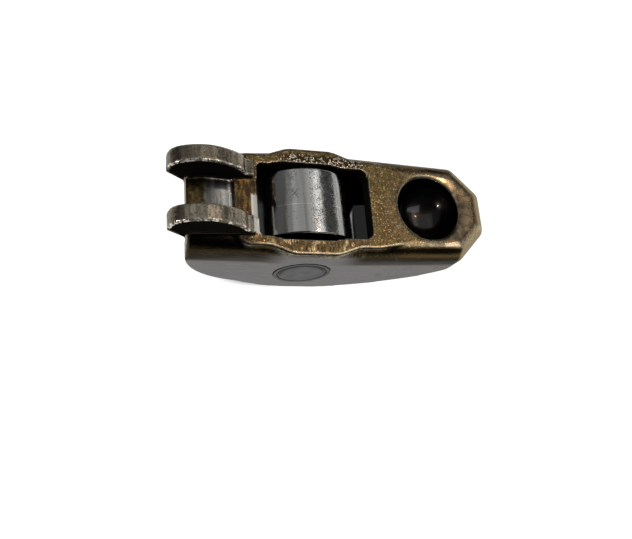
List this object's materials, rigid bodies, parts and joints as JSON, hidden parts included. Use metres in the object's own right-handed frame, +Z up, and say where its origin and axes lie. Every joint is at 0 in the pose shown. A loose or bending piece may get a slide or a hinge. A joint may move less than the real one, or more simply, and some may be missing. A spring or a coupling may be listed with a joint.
{
  "type": "roller finger rocker arm",
  "caption": "Pressed steel rocker arm with ball socket, needle-bearing cam roller on a staked pin, and a valve pad between two guide ears.",
  "frame": {"origin": "middle of the roller's axis", "axes": "+Y along the roller's axis, +X toward the ball socket end, +Z up with the arm resting on its roller and wall edges"},
  "size_m": [0.0448, 0.0162, 0.0253],
  "materials": {
    "body_steel": "bronze-brown heat-treated pressed steel, greyer on the side walls",
    "pin_steel": "dull grey ground pin end",
    "roller_steel": "ground and lightly run-in bearing steel",
    "needle_steel": "bright ground needle"
  },
  "bodies": {
    "arm": {"arm_body": "body_steel", "axle_pin": "pin_steel"},
    "roller": {"roller_ring": "roller_steel"},
    "needle_set": {"needle_01": "needle_steel", "needle_02": "needle_steel", "needle_03": "needle_steel", "needle_04": "needle_steel", "needle_05": "needle_steel", "needle_06": "needle_steel", "needle_07": "needle_steel", "needle_08": "needle_steel", "needle_09": "needle_steel", "needle_10": "needle_steel", "needle_11": "needle_steel", "needle_12": "needle_steel", "needle_13": "needle_steel", "needle_14": "needle_steel", "needle_15": "needle_steel", "needle_16": "needle_steel", "needle_17": "needle_steel"}
  },
  "joints": [
    {"name": "roller_spin", "type": "hinge", "parent": "arm", "child": "roller", "pos_m": [0, 0, 0], "axis": [0, 1, 0], "continuous": true},
    {"name": "needle_orbit", "type": "hinge", "parent": "arm", "child": "needle_set", "pos_m": [0, 0, 0], "axis": [0, 1, 0], "continuous": true}
  ],
  "couplings": [
    {"joint": "needle_orbit", "follows": "roller_spin", "ratio": 0.5903}
  ]
}
